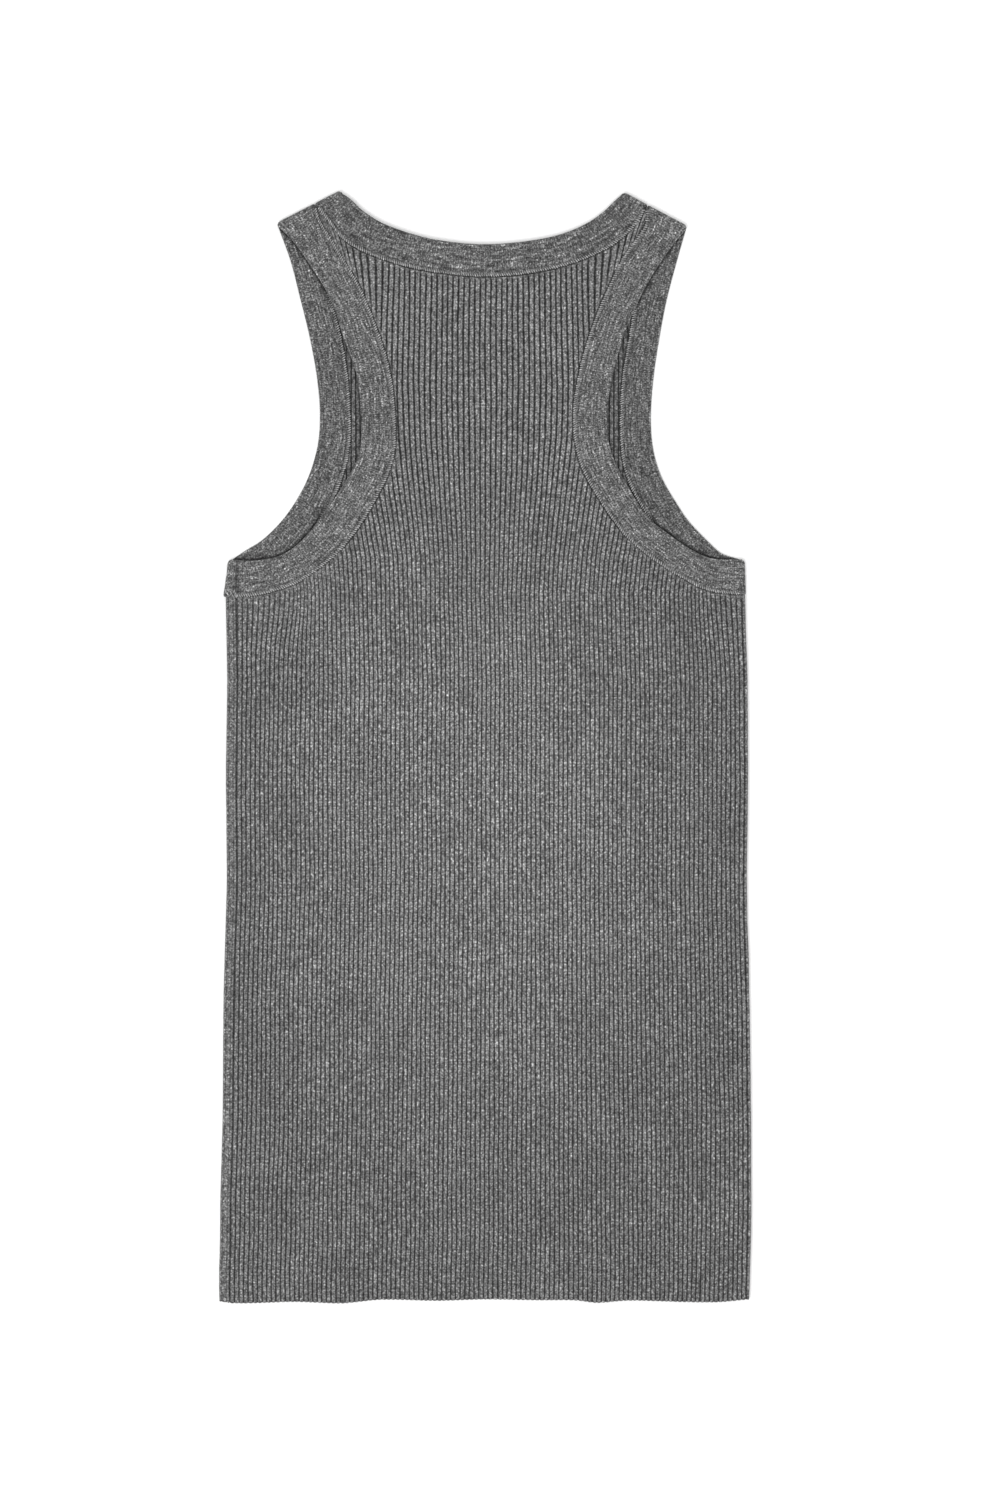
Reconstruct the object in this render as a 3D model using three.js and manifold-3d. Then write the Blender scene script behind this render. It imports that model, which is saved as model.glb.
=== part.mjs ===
// A rib-knit tank top with a racer back, lying flat on its front, so that its back faces up.
// Millimetres: +X runs across it, +Y from the hem to the shoulders, +Z up from the surface it lies on.
// The origin is on that surface, under the middle of the garment's outline.
// Five pieces are knitted and sewn together: back, front, neckband and two armbands.
import * as THREE from "three";
import { mergeVertices } from "three/addons/utils/BufferGeometryUtils.js";
import Module from "manifold-3d";

// Knit thicknesses. The bands are knitted double, the panels single.
const bandWall = 2.2;
const frontWall = 1.6;
const backWall = 1.4;
const ribHeight = 0.8;
const stripWall = 1.8; // the plain selvage that the front rolls over the left side
const layerGap = 0.4; // air between the bands of the two layers
const seamGap = 0.3; // between pieces at a seam

// Heights that follow from them.
const backBottom = bandWall + layerGap; // underside of the upper layer
const foldRadius = (backBottom + bandWall) / 2; // outside radius where a band turns from back to front
const foldInner = (backBottom - frontWall) / 2;
const foldInnerHeight = (backBottom + frontWall) / 2;
const cutHeight = 2.3; // between the two layers
const above = 30;
const below = -10;

// The body. Both side seams are rolled round by the same amount: the left one shows on top.
const sideRoll = 6.5;
const ribCount = 112;
const sideRibRise = 0.35;
const undersideSteps = 6;
const stretchFrom = 95; // above this height the racer back is pulled wider
const clear = 220; // past the outline on every side

// The outline of the body, a row for each height.
const bodySections = [
  { y: -352, left: -164.7, right: 163.7 },
  { y: -331, left: -165.1, right: 164.3 },
  { y: -306, left: -164.4, right: 164.8 },
  { y: -281, left: -164.3, right: 165.1 },
  { y: -232, left: -162.8, right: 165.1 },
  { y: -157, left: -162.3, right: 164.0 },
  { y: -83, left: -160.2, right: 162.5 },
  { y: -20, left: -160.8, right: 162.9 },
  { y: 41, left: -160.0, right: 162.8 },
  { y: 93, left: -160.9, right: 161.4 },
  { y: 116, left: -159.4, right: 160.8 },
  { y: 140, left: -159.4, right: 160.8 },
  { y: 165, left: -159.4, right: 160.8 },
  { y: 190, left: -159.4, right: 160.8 },
  { y: 227, left: -159.4, right: 160.8 },
  { y: 277, left: -159.4, right: 160.8 },
  { y: 300, left: -159.4, right: 160.8 },
  { y: 322, left: -159.4, right: 160.8 },
  { y: 350, left: -159.4, right: 160.8 },
];

// How much wider than at the waist the ribs lie.
const ribSpread = [
  { y: -400, spread: 1 },
  { y: stretchFrom, spread: 1 },
  { y: 116, spread: 1.025 },
  { y: 140, spread: 1.08 },
  { y: 165, spread: 1.15 },
  { y: 190, spread: 1.21 },
  { y: 227, spread: 1.235 },
  { y: 290, spread: 1.2 },
  { y: 400, spread: 1.18 },
];

// The outer ribs of the racer back lean out towards the straps.
const strapLean = { from: 65, start: 275, full: 312, left: 0.08, right: 0.05 };

// The hem hangs in shallow waves: its line, and the flutes that lift the upper layer there.
const hemLine = [
  { x: -220, y: -343.9 },
  { x: -165, y: -343.9 },
  { x: -157, y: -344.9 },
  { x: -120, y: -344.1 },
  { x: -88, y: -344.7 },
  { x: -65, y: -342.8 },
  { x: -30, y: -343.3 },
  { x: 0, y: -342.5 },
  { x: 35, y: -343.1 },
  { x: 56, y: -343.1 },
  { x: 69, y: -344.4 },
  { x: 88, y: -343.3 },
  { x: 118, y: -343.9 },
  { x: 145, y: -344.2 },
  { x: 163, y: -342.7 },
  { x: 220, y: -342.7 },
];
const hemFlutes = [
  { x: -138, width: 15, lift: 1.0, reach: 60 },
  { x: -88, width: 13, lift: 2.0, reach: 95 },
  { x: -28, width: 20, lift: 0.8, reach: 70 },
  { x: 69, width: 14, lift: 2.2, reach: 110 },
  { x: 128, width: 17, lift: 1.2, reach: 80 },
];

// The shoulder folds, from the neck corner to the arm corner, and where the two bands meet on them.
const shoulders = {
  left: { neck: [-89.8, 344.9], arm: [-129.1, 324.6], meet: [-105.9, 336.6] },
  right: { neck: [85.4, 343.9], arm: [125.1, 322.8], meet: [100.9, 335.7] },
};
const underarms = {
  left: { edge: [-159.4, 115.8], seam: [-160.9, 92.8] },
  right: { edge: [160.8, 115.8], seam: [161.4, 94.0] },
};

// The bands between those folds, a row for each section: opening edge, then the seam on the panel.
const armbandBackLeft = [
  { edgeX: -119.8, edgeY: 314.1, seamX: -102.3, seamY: 326.6 },
  { edgeX: -107.4, edgeY: 296.7, seamX: -90.5, seamY: 306.9 },
  { edgeX: -95.6, edgeY: 276.9, seamX: -78.0, seamY: 285.5 },
  { edgeX: -88.0, edgeY: 254.0, seamX: -67.4, seamY: 260.2 },
  { edgeX: -79.5, edgeY: 229.7, seamX: -59.4, seamY: 234.5 },
  { edgeX: -77.2, edgeY: 202.5, seamX: -55.7, seamY: 203.5 },
  { edgeX: -78.0, edgeY: 182.6, seamX: -57.0, seamY: 178.1 },
  { edgeX: -87.0, edgeY: 164.0, seamX: -67.9, seamY: 152.9 },
  { edgeX: -102.5, edgeY: 141.4, seamX: -86.2, seamY: 125.6 },
  { edgeX: -115.5, edgeY: 126.2, seamX: -101.5, seamY: 111.3 },
  { edgeX: -127.3, edgeY: 118.4, seamX: -119.5, seamY: 100.2 },
  { edgeX: -145.0, edgeY: 115.3, seamX: -143.0, seamY: 93.6 },
];
const armbandFrontLeft = [
  { edgeX: -120.9, edgeY: 301.7, seamX: -102.2, seamY: 307.2 },
  { edgeX: -114.5, edgeY: 276.9, seamX: -96.1, seamY: 281.5 },
  { edgeX: -108.5, edgeY: 252.1, seamX: -89.7, seamY: 256.0 },
  { edgeX: -104.2, edgeY: 227.3, seamX: -85.3, seamY: 229.8 },
  { edgeX: -102.6, edgeY: 207.4, seamX: -83.9, seamY: 207.6 },
  { edgeX: -103.5, edgeY: 190.1, seamX: -83.9, seamY: 187.8 },
  { edgeX: -106.2, edgeY: 177.7, seamX: -86.8, seamY: 172.6 },
  { edgeX: -110.6, edgeY: 165.3, seamX: -92.3, seamY: 157.2 },
  { edgeX: -117.2, edgeY: 152.9, seamX: -100.2, seamY: 142.4 },
  { edgeX: -125.9, edgeY: 140.5, seamX: -110.3, seamY: 127.2 },
  { edgeX: -138.5, edgeY: 128.1, seamX: -125.2, seamY: 111.9 },
  { edgeX: -149.0, edgeY: 121.5, seamX: -141.0, seamY: 100.8 },
];
const armbandBackRight = [
  { edgeX: 116.4, edgeY: 311.0, seamX: 99.2, seamY: 323.9 },
  { edgeX: 104.0, edgeY: 293.0, seamX: 85.3, seamY: 303.3 },
  { edgeX: 94.1, edgeY: 274.4, seamX: 75.6, seamY: 283.2 },
  { edgeX: 85.5, edgeY: 253.5, seamX: 66.0, seamY: 259.7 },
  { edgeX: 78.3, edgeY: 226.0, seamX: 57.8, seamY: 230.6 },
  { edgeX: 75.5, edgeY: 202.5, seamX: 54.4, seamY: 203.0 },
  { edgeX: 78.0, edgeY: 183.2, seamX: 58.2, seamY: 177.0 },
  { edgeX: 89.7, edgeY: 159.1, seamX: 72.0, seamY: 150.9 },
  { edgeX: 101.5, edgeY: 141.7, seamX: 88.2, seamY: 129.2 },
  { edgeX: 114.5, edgeY: 131.2, seamX: 103.2, seamY: 116.6 },
  { edgeX: 128.2, edgeY: 121.9, seamX: 117.6, seamY: 107.1 },
  { edgeX: 140.6, edgeY: 116.6, seamX: 137.3, seamY: 96.9 },
];
const armbandFrontRight = [
  { edgeX: 119.0, edgeY: 301.7, seamX: 100.2, seamY: 306.9 },
  { edgeX: 112.5, edgeY: 276.9, seamX: 94.0, seamY: 281.1 },
  { edgeX: 107.8, edgeY: 252.1, seamX: 89.3, seamY: 255.2 },
  { edgeX: 104.2, edgeY: 227.3, seamX: 85.1, seamY: 229.4 },
  { edgeX: 102.7, edgeY: 205.6, seamX: 83.8, seamY: 205.8 },
  { edgeX: 103.4, edgeY: 190.1, seamX: 84.0, seamY: 188.0 },
  { edgeX: 105.7, edgeY: 177.7, seamX: 86.0, seamY: 172.8 },
  { edgeX: 110.3, edgeY: 165.3, seamX: 92.2, seamY: 156.7 },
  { edgeX: 117.5, edgeY: 152.9, seamX: 100.5, seamY: 142.3 },
  { edgeX: 125.7, edgeY: 140.5, seamX: 109.7, seamY: 127.7 },
  { edgeX: 137.4, edgeY: 128.1, seamX: 122.4, seamY: 113.4 },
  { edgeX: 146.5, edgeY: 120.0, seamX: 139.5, seamY: 100.2 },
];
const neckbandBack = [
  { edgeX: -83.0, edgeY: 339.0, seamX: -96.4, seamY: 324.2 },
  { edgeX: -76.4, edgeY: 332.7, seamX: -88.3, seamY: 314.5 },
  { edgeX: -64.8, edgeY: 325.2, seamX: -74.6, seamY: 306.4 },
  { edgeX: -45.0, edgeY: 317.8, seamX: -50.3, seamY: 298.0 },
  { edgeX: -28.9, edgeY: 314.1, seamX: -32.7, seamY: 294.4 },
  { edgeX: -3.0, edgeY: 311.5, seamX: -3.5, seamY: 291.5 },
  { edgeX: 24.0, edgeY: 313.2, seamX: 26.5, seamY: 293.4 },
  { edgeX: 47.1, edgeY: 317.8, seamX: 52.2, seamY: 299.0 },
  { edgeX: 64.3, edgeY: 325.2, seamX: 75.1, seamY: 308.5 },
  { edgeX: 74.5, edgeY: 332.7, seamX: 87.6, seamY: 317.5 },
  { edgeX: 80.5, edgeY: 338.6, seamX: 94.9, seamY: 325.5 },
];
// The front neckline is hidden under the back: a plain scoop, the same on both sides of its middle.
const scoopMiddle = -2.2;
const neckbandFrontHalf = [
  { edgeX: -82.5, edgeY: 327.0, seamX: -100.5, seamY: 319.6 },
  { edgeX: -74.0, edgeY: 306.0, seamX: -91.4, seamY: 297.3 },
  { edgeX: -61.0, edgeY: 284.0, seamX: -76.0, seamY: 271.6 },
  { edgeX: -40.0, edgeY: 265.0, seamX: -50.5, seamY: 248.6 },
  { edgeX: -18.0, edgeY: 256.5, seamX: -22.3, seamY: 237.5 },
];

const stepsPerRow = 4;
const foldSteps = 8;
const bandEdgeRound = 1.2;
const wedgeStart = 10; // the panels' narrow points between the bands stop this far below the shoulder fold

const wasm = await Module();
wasm.setup();

// Plain helpers
const point = (xy) => new THREE.Vector2(xy[0], xy[1]);
const mix = (a, b, share) => a + (b - a) * share;

// The value of a column of a table at a height, in straight steps between its rows.
function columnAt(table, column, y) {
  const next = table.findIndex((row) => row.y >= y);
  if (next === 0) return table[0][column];
  if (next < 0) return table[table.length - 1][column];
  const [low, high] = [table[next - 1], table[next]];
  return mix(low[column], high[column], (y - low.y) / (high.y - low.y));
}

// A smooth line through points, with the same number of steps between each two of them.
function smoothLine(points, steps) {
  const curve = new THREE.CatmullRomCurve3(points.map((p) => new THREE.Vector3(p.x, p.y, 0)));
  return curve.getPoints((points.length - 1) * steps).map((p) => new THREE.Vector2(p.x, p.y));
}

// A closed solid from rings of points: each ring is joined to the next, and the last to the first if closed.
function loft(rings, closed = false) {
  const count = rings[0].length;
  const positions = rings.flat().flatMap((p) => [p.x, p.y, p.z]);
  const triangles = [];
  const spans = closed ? rings.length : rings.length - 1;
  for (let i = 0; i < spans; i++) {
    const [a, b] = [i * count, ((i + 1) % rings.length) * count];
    for (let j = 0; j < count; j++) {
      const k = (j + 1) % count;
      triangles.push(a + j, b + j, b + k, a + j, b + k, a + k);
    }
  }
  if (!closed) {
    const last = (rings.length - 1) * count;
    const flat = (ring) => ring.map((p) => new THREE.Vector2(p.x, p.z));
    const cap = (ring, start, flip) => {
      const turn = THREE.ShapeUtils.isClockWise(flat(ring)) !== flip;
      THREE.ShapeUtils.triangulateShape(flat(ring), []).forEach(([a, b, c]) => {
        triangles.push(start + a, start + (turn ? c : b), start + (turn ? b : c));
      });
    };
    cap(rings[0], 0, false);
    cap(rings[rings.length - 1], last, true);
  }
  const geometry = new THREE.BufferGeometry();
  geometry.setAttribute("position", new THREE.Float32BufferAttribute(positions, 3));
  geometry.setIndex(triangles);
  return facingOut(geometry);
}

// Turns every face round if the solid is inside out.
function facingOut(geometry) {
  const [place, index] = [geometry.getAttribute("position"), geometry.getIndex().array];
  const corners = [new THREE.Vector3(), new THREE.Vector3(), new THREE.Vector3()];
  let volume = 0;
  for (let i = 0; i < index.length; i += 3) {
    corners.forEach((corner, k) => corner.fromBufferAttribute(place, index[i + k]));
    volume += corners[0].dot(corners[1].clone().cross(corners[2])) / 6;
  }
  if (volume < 0) {
    for (let i = 0; i < index.length; i += 3) {
      [index[i + 1], index[i + 2]] = [index[i + 2], index[i + 1]];
    }
  }
  return geometry;
}

// To and from a solid that can be cut.
function toSolid(geometry) {
  const bare = geometry.clone();
  bare.deleteAttribute("normal");
  bare.deleteAttribute("uv");
  const merged = mergeVertices(bare, 1e-4);
  const vertProperties = new Float32Array(merged.getAttribute("position").array);
  const triVerts = new Uint32Array(merged.getIndex().array);
  return new wasm.Manifold(new wasm.Mesh({ numProp: 3, vertProperties, triVerts }));
}

function fromSolid(solid) {
  const mesh = solid.getMesh();
  const geometry = new THREE.BufferGeometry();
  geometry.setAttribute("position", new THREE.Float32BufferAttribute(mesh.vertProperties, 3));
  geometry.setIndex([...mesh.triVerts]);
  return geometry;
}

// An upright block with a flat outline, between two heights.
function block(outline, bottom, top) {
  const options = { depth: top - bottom, bevelEnabled: false };
  const geometry = new THREE.ExtrudeGeometry(new THREE.Shape(outline), options);
  geometry.translate(0, 0, bottom);
  return toSolid(geometry);
}

// The way out of the garment across a shoulder fold.
function acrossShoulder(shoulder) {
  const along = point(shoulder.arm).sub(point(shoulder.neck)).normalize();
  const out = new THREE.Vector2(-along.y, along.x);
  return out.y > 0 ? out : out.negate();
}

// A fold line for a band: its two ends pulled in, so that the turned knit reaches the outline.
function foldLine(edge, seam, out) {
  const inward = out.clone().multiplyScalar(-foldRadius);
  return { edge: point(edge).add(inward), seam: point(seam).add(inward), out };
}

// A shoulder fold's share for one band, which stops short of the other band.
function shoulderFold(shoulder, corner) {
  const out = acrossShoulder(shoulder);
  const step = point(shoulder[corner]).sub(point(shoulder.meet)).normalize().multiplyScalar(seamGap);
  const meet = point(shoulder.meet).add(step);
  return foldLine(shoulder[corner], [meet.x, meet.y], out);
}

const sideFold = (side, direction) =>
  foldLine(underarms[side].edge, underarms[side].seam, new THREE.Vector2(direction, 0));

// The opening edge and the seam of one layer of a band, from one fold to the other.
function bandLines(start, rows, end) {
  const edge = [start.edge, ...rows.map((row) => new THREE.Vector2(row.edgeX, row.edgeY)), end.edge];
  const seam = [start.seam, ...rows.map((row) => new THREE.Vector2(row.seamX, row.seamY)), end.seam];
  return { edge: smoothLine(edge, stepsPerRow), seam: smoothLine(seam, stepsPerRow) };
}

// One section of a band: a doubled strip, rounded at its opening edge.
// up is the way its outer face looks, and centre is where its middle lies across the two layers.
function bandSection(edge, seam, out, turn) {
  const middleRadius = backBottom / 2;
  const up = new THREE.Vector3(out.x * Math.sin(turn), out.y * Math.sin(turn), Math.cos(turn));
  const shift = up.clone().multiplyScalar(middleRadius);
  shift.z += foldRadius;
  const width = seam.clone().sub(edge);
  const across = new THREE.Vector3(width.x, width.y, 0).normalize();
  const half = bandWall / 2;
  const profile = [
    [width.length(), half],
    [bandEdgeRound, half],
    [bandEdgeRound * 0.3, half * 0.65],
    [0, 0],
    [bandEdgeRound * 0.3, -half * 0.65],
    [bandEdgeRound, -half],
    [width.length(), -half],
  ];
  return profile.map(([along, lift]) => {
    const p = new THREE.Vector3(edge.x, edge.y, 0).add(shift);
    return p.addScaledVector(across, along).addScaledVector(up, lift);
  });
}

// A whole band: over the back, round one fold, over the front, and round the other.
function bandRing(lines, startFold, endFold) {
  const flat = new THREE.Vector2(0, 0);
  const layer = (line, turn) => line.edge.map((edge, i) => bandSection(edge, line.seam[i], flat, turn));
  const turned = (fold, from) => {
    const turns = Array.from({ length: foldSteps - 1 }, (_, i) => (Math.PI * (i + 1)) / foldSteps);
    return turns.map((turn) => bandSection(fold.edge, fold.seam, fold.out, from + turn * (from ? -1 : 1)));
  };
  const back = layer(lines.back, 0);
  const front = layer(lines.front, Math.PI).reverse();
  return loft([...back, ...turned(endFold, 0), ...front, ...turned(startFold, Math.PI)], true);
}

// Where each band runs
const mirrored = (row) => ({
  edgeX: 2 * scoopMiddle - row.edgeX,
  edgeY: row.edgeY,
  seamX: 2 * scoopMiddle - row.seamX,
  seamY: row.seamY,
});
const scoopBottom = { edgeX: scoopMiddle, edgeY: 255, seamX: scoopMiddle, seamY: 235.5 };
const neckbandFront = [
  ...neckbandFrontHalf,
  scoopBottom,
  ...neckbandFrontHalf.map(mirrored).reverse(),
];
const folds = {
  neckLeft: shoulderFold(shoulders.left, "neck"),
  neckRight: shoulderFold(shoulders.right, "neck"),
  armLeft: shoulderFold(shoulders.left, "arm"),
  armRight: shoulderFold(shoulders.right, "arm"),
  sideLeft: sideFold("left", -1),
  sideRight: sideFold("right", 1),
};
const neckLines = {
  back: bandLines(folds.neckLeft, neckbandBack, folds.neckRight),
  front: bandLines(folds.neckLeft, neckbandFront, folds.neckRight),
};
const leftLines = {
  back: bandLines(folds.armLeft, armbandBackLeft, folds.sideLeft),
  front: bandLines(folds.armLeft, armbandFrontLeft, folds.sideLeft),
};
const rightLines = {
  back: bandLines(folds.armRight, armbandBackRight, folds.sideRight),
  front: bandLines(folds.armRight, armbandFrontRight, folds.sideRight),
};

// A seam line moved off its band, onto the panel beside it.
function besideSeam(line) {
  return line.seam.map((p, i) => {
    const [before, after] = [line.seam[Math.max(i - 1, 0)], line.seam[Math.min(i + 1, line.seam.length - 1)]];
    const along = after.clone().sub(before).normalize();
    const off = new THREE.Vector2(-along.y, along.x);
    const away = p.clone().sub(line.edge[i]);
    return p.clone().addScaledVector(off, off.dot(away) > 0 ? seamGap : -seamGap);
  });
}

// The part of a layer that its panel covers: all below the bands' seams and above the hem.
function panelArea(layer, bottom, top) {
  const hem = smoothLine(hemLine.map((row) => new THREE.Vector2(row.x, row.y)), 3);
  const whole = [...hem, new THREE.Vector2(clear, clear * 2), new THREE.Vector2(-clear, clear * 2)];
  const armhole = (line, fold, side) => {
    const seam = besideSeam(line);
    const high = seam[0].clone().addScaledVector(fold.out, above);
    const corner = new THREE.Vector2(side * clear * 1.1, clear * 2.2);
    const low = new THREE.Vector2(side * clear * 1.1, seam[seam.length - 1].y);
    return [high, ...seam, low, corner];
  };
  const neckSeam = besideSeam(neckLines[layer]);
  const ends = [
    neckSeam[0].clone().addScaledVector(folds.neckLeft.out, above),
    neckSeam[neckSeam.length - 1].clone().addScaledVector(folds.neckRight.out, above),
  ];
  const wedge = (shoulder) => {
    const out = acrossShoulder(shoulder);
    const [neck, arm] = [point(shoulder.neck), point(shoulder.arm)];
    return [
      neck.clone().addScaledVector(out, -wedgeStart),
      arm.clone().addScaledVector(out, -wedgeStart),
      arm.clone().addScaledVector(out, above),
      neck.clone().addScaledVector(out, above),
    ];
  };
  const cuts = [
    armhole(leftLines[layer], folds.armLeft, -1),
    armhole(rightLines[layer], folds.armRight, 1),
    [ends[0], ...neckSeam, ends[1]],
    wedge(shoulders.left),
    wedge(shoulders.right),
  ];
  return cuts.reduce((area, cut) => area.subtract(block(cut, bottom - 1, top + 1)), block(whole, bottom, top));
}

// Each panel turns round one side, so the two layers' outlines are cut at their own heights.
const overlap = 0.1;
const panelSpace = panelArea("front", below, cutHeight + overlap).add(panelArea("back", cutHeight, above));

// How far the flutes lift the upper layer.
function lift(x, y) {
  const hem = hemLine[0].y;
  return hemFlutes.reduce((sum, flute) => {
    const near = Math.exp(-(((x - flute.x) / flute.width) ** 2));
    const fade = THREE.MathUtils.smoothstep(hem + flute.reach - y, 0, flute.reach);
    return sum + flute.lift * near * fade;
  }, 0);
}

// Where a point of the upper layer lies once the racer back is pulled wider.
function spread(x, y) {
  const wide = x * columnAt(ribSpread, "spread", y);
  const past = Math.max(Math.abs(wide) - strapLean.from, 0);
  const ramp = THREE.MathUtils.clamp((y - strapLean.start) / (strapLean.full - strapLean.start), 0, 1);
  const lean = Math.min(past, 20) ** 2 * ramp;
  return wide + (wide < 0 ? -strapLean.left : strapLean.right) * lean;
}

// Points along half a turn in a side fold, from the upper layer to the lower one.
function halfTurn(x, z, radius, side, rise = 0) {
  return Array.from({ length: undersideSteps - 1 }, (_, i) => {
    const turn = (Math.PI * (i + 1)) / undersideSteps;
    const ribbed = i % 2 === 0 && turn < Math.PI * 0.6; // the underside stays plain
    const r = radius + (ribbed ? rise : 0);
    return [x + side * r * Math.sin(turn), z + r * Math.cos(turn)];
  });
}

// The back: ribs raised over a plain inside. It rolls under the right side to its seam.
function backSection(y) {
  const [left, right] = [columnAt(bodySections, "left", y), columnAt(bodySections, "right", y)];
  const start = left + sideRoll + seamGap / 2;
  const radius = (backBottom + backWall) / 2;
  const foldX = right - radius - sideRibRise;
  const end = right - sideRoll + seamGap / 2;
  const ribs = Array.from({ length: 2 * ribCount + 1 }, (_, i) => {
    const x = mix(start, foldX, i / (2 * ribCount));
    return [x, backBottom + backWall + (i % 2 ? ribHeight : 0) + lift(x, y)];
  });
  const insideX = Array.from({ length: 25 }, (_, i) => mix(start, foldX, i / 24));
  const inside = insideX.map((x) => [x, backBottom + lift(x, y)]);
  const turned = halfTurn(foldX, radius, radius, 1, sideRibRise);
  const insideTurned = halfTurn(foldX, foldInnerHeight, foldInner, 1);
  const outer = [...ribs, ...turned, [end, 0]];
  const inner = [...inside, ...insideTurned, [end, frontWall]];
  const ring = [...outer, ...inner.reverse()];
  return ring.map(([x, z]) => new THREE.Vector3(spread(x, y), y, z));
}

// The front lies on the surface. It rolls over the left side to its seam, as a plain selvage.
function frontSection(y) {
  const [left, right] = [columnAt(bodySections, "left", y), columnAt(bodySections, "right", y)];
  const start = right - sideRoll - seamGap / 2;
  const radius = (backBottom + stripWall) / 2;
  const foldX = left + radius;
  const end = left + sideRoll - seamGap / 2;
  const steps = Array.from({ length: 5 }, (_, i) => mix(foldX, start, i / 4));
  const turned = halfTurn(foldX, radius, radius, -1);
  const insideTurned = halfTurn(foldX, foldInnerHeight, foldInner, -1);
  const outer = [[end, 2 * radius], [foldX, 2 * radius], ...turned, ...steps.map((x) => [x, 0])];
  const inner = [[end, backBottom], [foldX, backBottom], ...insideTurned, ...steps.map((x) => [x, frontWall])];
  const ring = [...outer, ...inner.reverse()];
  return ring.map(([x, z]) => new THREE.Vector3(x, y, z));
}

const panel = (section) => {
  const slab = loft(bodySections.map((row) => section(row.y)));
  return fromSolid(toSolid(slab).intersect(panelSpace));
};

// The pieces
const grey = (tone) => new THREE.Color(tone, tone, tone);
const knit = (tone) => new THREE.MeshStandardMaterial({ color: grey(tone), roughness: 0.95, metalness: 0 });
const pieces = {
  back: { geometry: panel(backSection), material: knit(0.17) },
  front: { geometry: panel(frontSection), material: knit(0.16) },
  neckband: { geometry: bandRing(neckLines, folds.neckLeft, folds.neckRight), material: knit(0.18) },
  armband_left: { geometry: bandRing(leftLines, folds.armLeft, folds.sideLeft), material: knit(0.18) },
  armband_right: { geometry: bandRing(rightLines, folds.armRight, folds.sideRight), material: knit(0.18) },
};

const tankTop = new THREE.Group();
for (const [name, { geometry, material }] of Object.entries(pieces)) {
  geometry.computeVertexNormals();
  const mesh = new THREE.Mesh(geometry, material);
  mesh.name = name;
  tankTop.add(mesh);
}

export default tankTop;
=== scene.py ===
import bpy
import math
import numpy as np
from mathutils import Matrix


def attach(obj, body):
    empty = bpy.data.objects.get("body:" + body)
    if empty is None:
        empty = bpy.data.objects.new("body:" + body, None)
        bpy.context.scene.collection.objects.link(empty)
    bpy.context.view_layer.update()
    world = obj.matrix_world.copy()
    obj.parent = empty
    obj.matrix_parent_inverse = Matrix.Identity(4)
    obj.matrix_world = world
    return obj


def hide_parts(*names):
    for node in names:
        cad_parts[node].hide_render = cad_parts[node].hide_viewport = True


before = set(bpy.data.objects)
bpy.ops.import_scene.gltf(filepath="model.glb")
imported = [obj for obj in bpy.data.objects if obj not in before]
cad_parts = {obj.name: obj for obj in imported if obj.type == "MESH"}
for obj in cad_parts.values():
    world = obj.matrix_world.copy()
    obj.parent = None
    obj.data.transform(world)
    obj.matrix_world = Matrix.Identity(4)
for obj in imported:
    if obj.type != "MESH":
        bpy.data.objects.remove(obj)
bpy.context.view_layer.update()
print("frame loaded:", ", ".join(sorted(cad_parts)))

mm = 0.001

# The garment's outline in millimetres, as in the part's source.
bodySections = [  # y, left edge, right edge
    (-352, -164.7, 163.7), (-331, -165.1, 164.3), (-306, -164.4, 164.8), (-281, -164.3, 165.1),
    (-232, -162.8, 165.1), (-157, -162.3, 164.0), (-83, -160.2, 162.5), (-20, -160.8, 162.9),
    (41, -160.0, 162.8), (93, -160.9, 161.4), (116, -159.4, 160.8), (350, -159.4, 160.8),
]
ribSpread = [  # y, how much wider the ribs lie than at the waist
    (-400, 1.0), (95, 1.0), (116, 1.025), (140, 1.08), (165, 1.15),
    (190, 1.21), (227, 1.235), (290, 1.2), (400, 1.18),
]
strapLean = {  # on the straps the outer ribs lean outwards once they leave the armhole seam
    "from": 60, "full": 95, "slope": 0.42, "footX": 65, "footY": 258, "rise": 1.85,
}
hemLine = [  # x, y
    (-220, -343.9), (-165, -343.9), (-157, -344.9), (-120, -344.1), (-88, -344.7), (-65, -342.8),
    (-30, -343.3), (0, -342.5), (35, -343.1), (56, -343.1), (69, -344.4), (88, -343.3),
    (118, -343.9), (145, -344.2), (163, -342.7), (220, -342.7),
]
hemFlutes = [  # x, half width, lift, how far up it reaches
    (-138, 15, 1.0, 60),
    (-88, 13, 2.0, 95),
    (-28, 20, 0.8, 70),
    (69, 14, 2.2, 110),
    (128, 17, 1.2, 80),
]
ribDrift = [  # x, y, half width, half height, how far the ribs are pushed to the right
    (68, -350, 42, 75, 1.6),
    (-128, 95, 18, 28, 5.0),
    (143, 97, 12, 30, -2.6),
    (-20, -230, 60, 60, -0.7),
]
shoulders = {
    "left": {"neck": (-89.8, 345.2), "arm": (-129.6, 324.8), "meet": (-105.9, 336.9)},
    "right": {"neck": (85.6, 344.2), "arm": (125.6, 323.0), "meet": (100.9, 336.0)},
}
underarms = {  # band edge, seam
    "left": ((-159.6, 116.0), (-161.6, 92.8)),
    "right": ((161.0, 116.0), (161.6, 94.0)),
}
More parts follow.
